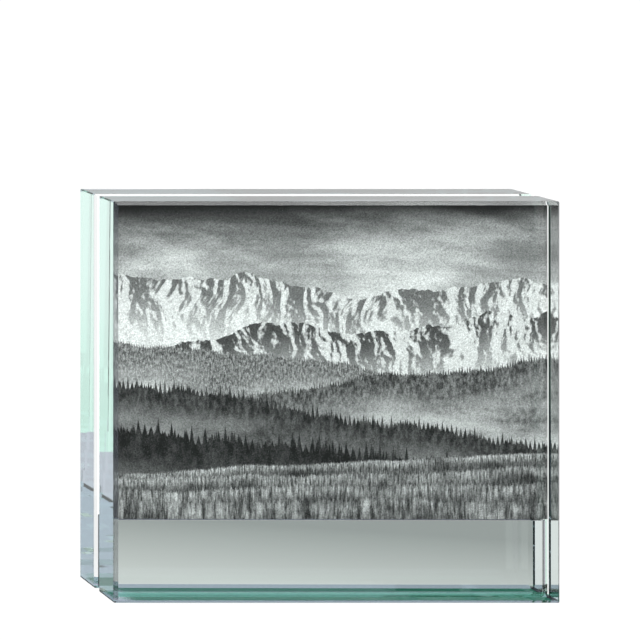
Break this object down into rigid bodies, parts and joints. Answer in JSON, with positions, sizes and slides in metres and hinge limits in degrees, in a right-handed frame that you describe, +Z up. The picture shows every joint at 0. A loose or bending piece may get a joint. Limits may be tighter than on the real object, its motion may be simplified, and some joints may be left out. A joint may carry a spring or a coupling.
{
  "type": "glass block picture frame",
  "caption": "Free-standing picture frame of thick bevelled clear glass blocks, bonded at the foot, with a print standing in the slot between them.",
  "frame": {"origin": "on the table under the middle of the frame, which is the bottom centre of its box", "axes": "+X along the frame's width to the viewer's right, +Y from the front face to the back, +Z up"},
  "size_m": [0.18, 0.032, 0.162],
  "materials": {
    "clear_glass": "polished clear float glass with a faint green tint, ground and polished bevels",
    "clear_adhesive": "clear light-cured adhesive film",
    "photo_paper": "satin black-and-white print on white paper"
  },
  "bodies": {
    "frame": {"front_glass_block": "clear_glass", "rear_glass_block": "clear_glass", "spacer_strip": "clear_glass", "front_adhesive_film": "clear_adhesive", "rear_adhesive_film": "clear_adhesive"},
    "print": {"photo_print": "photo_paper"}
  },
  "joints": [
    {"name": "print_slide", "type": "slide", "parent": "frame", "child": "print", "axis": [0, 0, 1], "range_m": [0, 0.132]}
  ]
}
